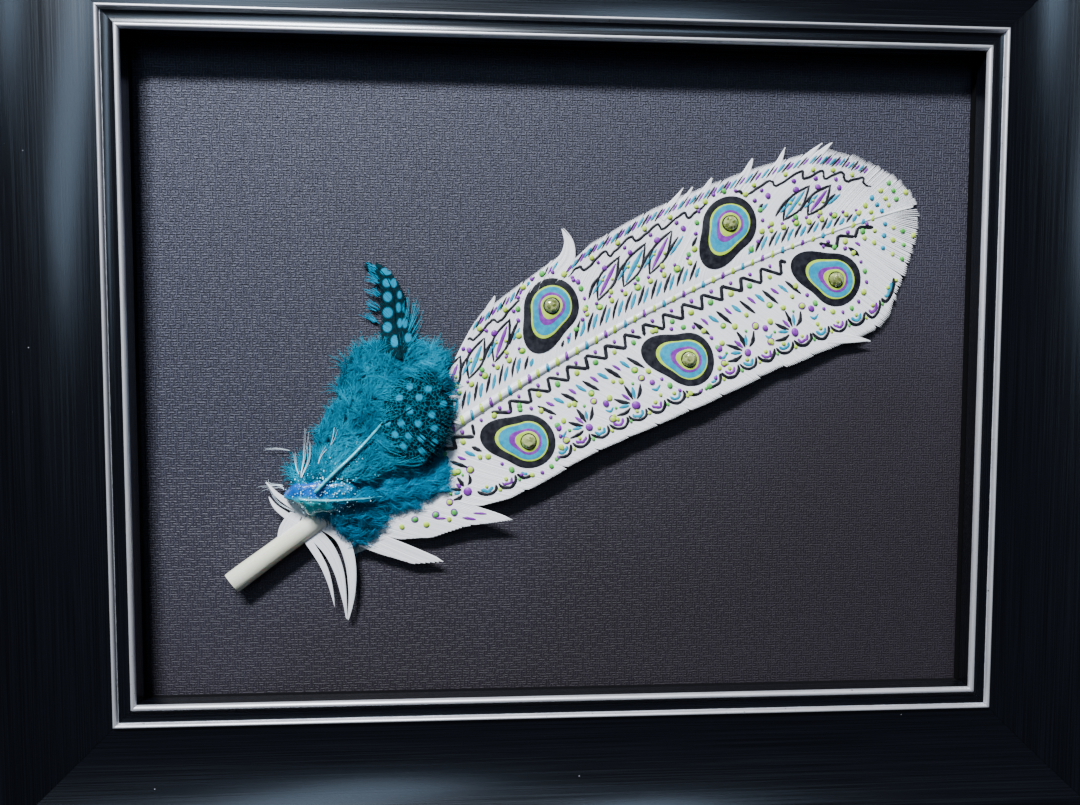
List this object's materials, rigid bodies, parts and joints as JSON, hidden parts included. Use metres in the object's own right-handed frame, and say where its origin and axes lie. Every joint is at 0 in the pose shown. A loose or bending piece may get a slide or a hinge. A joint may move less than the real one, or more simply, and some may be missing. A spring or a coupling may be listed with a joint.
{
  "type": "framed decorated feather",
  "caption": "Painted white quill feather with dyed plumes and rhinestones, mounted on a textured board in a black scooped picture frame with silver beads.",
  "frame": {"origin": "centre of the frame's back, on the surface it lies on", "axes": "+X to the picture's right, +Y to its top, +Z out of the picture"},
  "size_m": [0.4452, 0.3662, 0.0339],
  "materials": {
    "frame_black": "black lacquer over a fine brushed grain, silver beads round the opening",
    "spacer_black": "plain black strip",
    "linen_board": "charcoal board embossed like linen",
    "backing_brown": "bare hardboard",
    "steel": "bright zinc plate",
    "white_feather": "white paint over barbs, with painted ornament",
    "guinea_top": "dyed down and a dark spotted blade",
    "guinea_front": "dyed dark blade with small turquoise spots",
    "marabou": "dyed down",
    "glitter_glue": "clear blue glue with fine silver glitter",
    "teal_card": "pale teal wash",
    "gem_green": "faceted, olive green, with a foiled back"
  },
  "bodies": {
    "root": {"rail_top": "frame_black", "rail_left": "frame_black", "rail_bottom": "frame_black", "rail_right": "frame_black", "linen_board": "linen_board", "backing_panel": "backing_brown", "spacer_top": "spacer_black", "spacer_bottom": "spacer_black", "spacer_left": "spacer_black", "spacer_right": "spacer_black", "sawtooth_hanger": "steel", "hanger_rivet_left": "steel", "hanger_rivet_right": "steel", "painted_card": "teal_card", "white_feather": "white_feather", "marabou_plume": "marabou", "guinea_feather_top": "guinea_top", "guinea_feather_front": "guinea_front", "glitter_glue": "glitter_glue", "retaining_tab_1": "steel", "retaining_tab_2": "steel", "retaining_tab_3": "steel", "retaining_tab_4": "steel", "retaining_tab_5": "steel", "retaining_tab_6": "steel", "retaining_tab_7": "steel", "retaining_tab_8": "steel", "rhinestone_1": "gem_green", "rhinestone_2": "gem_green", "rhinestone_3": "gem_green", "rhinestone_4": "gem_green", "rhinestone_5": "gem_green"}
  },
  "joints": []
}
